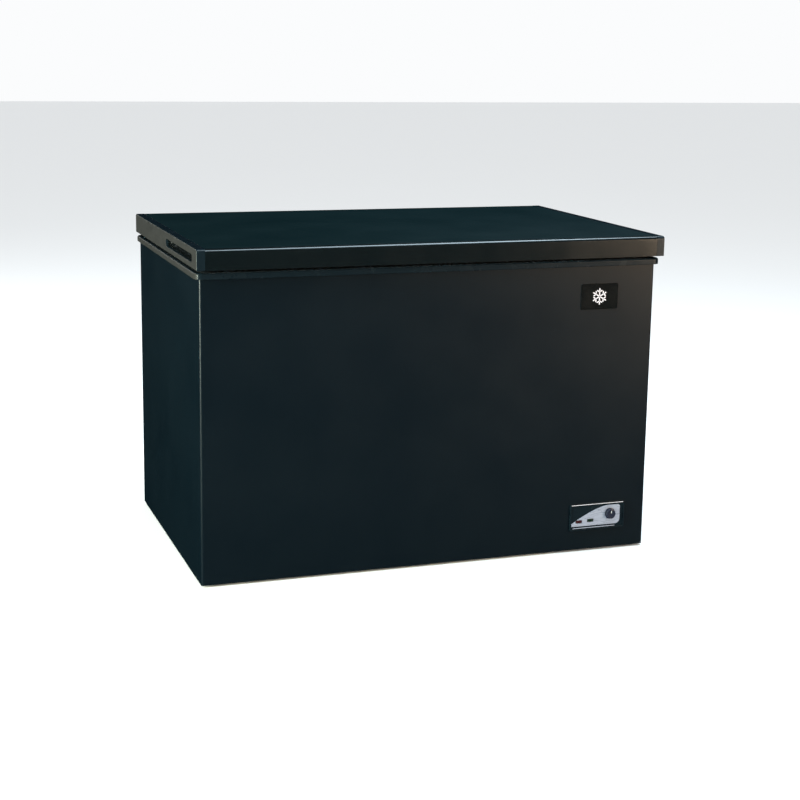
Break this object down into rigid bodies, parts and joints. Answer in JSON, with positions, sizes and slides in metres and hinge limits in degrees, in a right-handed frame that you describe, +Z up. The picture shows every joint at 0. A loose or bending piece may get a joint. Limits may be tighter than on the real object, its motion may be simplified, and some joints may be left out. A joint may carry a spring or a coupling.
{
  "type": "chest freezer",
  "caption": "Black chest freezer with a hinged insulated lid, white step-floored tank, sliding basket, front thermostat panel and rear compressor bay.",
  "frame": {"origin": "on the floor, under the middle of the overall box", "axes": "+X along the freezer's length towards the compressor end, front faces -Y, +Z up"},
  "size_m": [1.244, 0.832, 0.85],
  "materials": {
    "black_steel": "satin",
    "zinc_steel": "satin",
    "white_sheet": "satin",
    "white_plastic": "satin",
    "black_plastic": "satin",
    "grey_plastic": "matte",
    "foam": "matte",
    "rubber": "matte",
    "seal_rubber": "matte",
    "copper": "satin",
    "compressor_steel": "satin",
    "silver_label": "satin",
    "red_lens": "gloss",
    "green_lens": "gloss",
    "coated_wire": "gloss"
  },
  "bodies": {
    "cabinet": {"outer_wrap": "black_steel", "rear_panel": "black_steel", "base_panel": "zinc_steel", "compressor_deck": "zinc_steel", "compartment_wall": "zinc_steel", "rear_access_cover": "zinc_steel", "condenser_coil": "zinc_steel", "thermostat_body": "zinc_steel", "hinge_base_left": "zinc_steel", "hinge_base_right": "zinc_steel", "hinge_pin_left": "zinc_steel", "hinge_pin_right": "zinc_steel", "hinge_spring_left": "zinc_steel", "hinge_spring_right": "zinc_steel", "tank_liner": "white_sheet", "drain_tube": "white_plastic", "lamp_board": "white_plastic", "foam_left": "foam", "foam_right": "foam", "foam_front": "foam", "foam_rear": "foam", "foam_floor": "foam", "top_collar": "black_plastic", "control_bezel": "black_plastic", "badge_plate": "black_plastic", "side_vent_grille": "black_plastic", "cord_inlet": "black_plastic", "start_relay_box": "black_plastic", "foot_front_left": "black_plastic", "foot_front_right": "black_plastic", "foot_rear_left": "black_plastic", "foot_rear_right": "black_plastic", "compressor_grommet_1": "rubber", "compressor_grommet_2": "rubber", "compressor_grommet_3": "rubber", "compressor_grommet_4": "rubber", "evaporator_coil": "copper", "suction_pipe": "copper", "discharge_pipe": "copper", "filter_drier": "copper", "compressor": "compressor_steel", "compressor_bracket": "compressor_steel", "control_label": "silver_label", "power_lamp": "red_lens", "run_lamp": "green_lens"},
    "lid": {"lid_top_panel": "black_steel", "lid_front_rail": "black_steel", "lid_rear_rail": "black_steel", "lid_end_cap_left": "grey_plastic", "lid_end_cap_right": "grey_plastic", "lid_foam": "foam", "lid_inner_panel": "white_plastic", "lid_gasket": "seal_rubber", "hinge_leaf_left": "zinc_steel", "hinge_leaf_right": "zinc_steel"},
    "knob": {"thermostat_knob": "black_plastic", "thermostat_spindle": "zinc_steel"},
    "basket": {"wire_basket": "coated_wire"},
    "inner_plug": {"drain_plug": "rubber"},
    "outer_cap": {"drain_cap": "black_plastic"}
  },
  "joints": [
    {"name": "lid_hinge", "type": "hinge", "parent": "cabinet", "child": "lid", "pos_m": [0, 0.404, 0.782], "axis": [-1, 0, 0], "range_deg": [0, 80]},
    {"name": "knob_turn", "type": "hinge", "parent": "cabinet", "child": "knob", "pos_m": [0.506, -0.393, 0.101], "axis": [0, 1, 0], "range_deg": [0, 270]},
    {"name": "basket_slide", "type": "slide", "parent": "cabinet", "child": "basket", "axis": [-1, 0, 0], "range_m": [0, 0.81]},
    {"name": "drain_plug_pull", "type": "slide", "parent": "cabinet", "child": "inner_plug", "axis": [0, -1, 0], "range_m": [0, 0.02]},
    {"name": "drain_cap_pull", "type": "slide", "parent": "cabinet", "child": "outer_cap", "axis": [0, 1, 0], "range_m": [0, 0.014]}
  ]
}
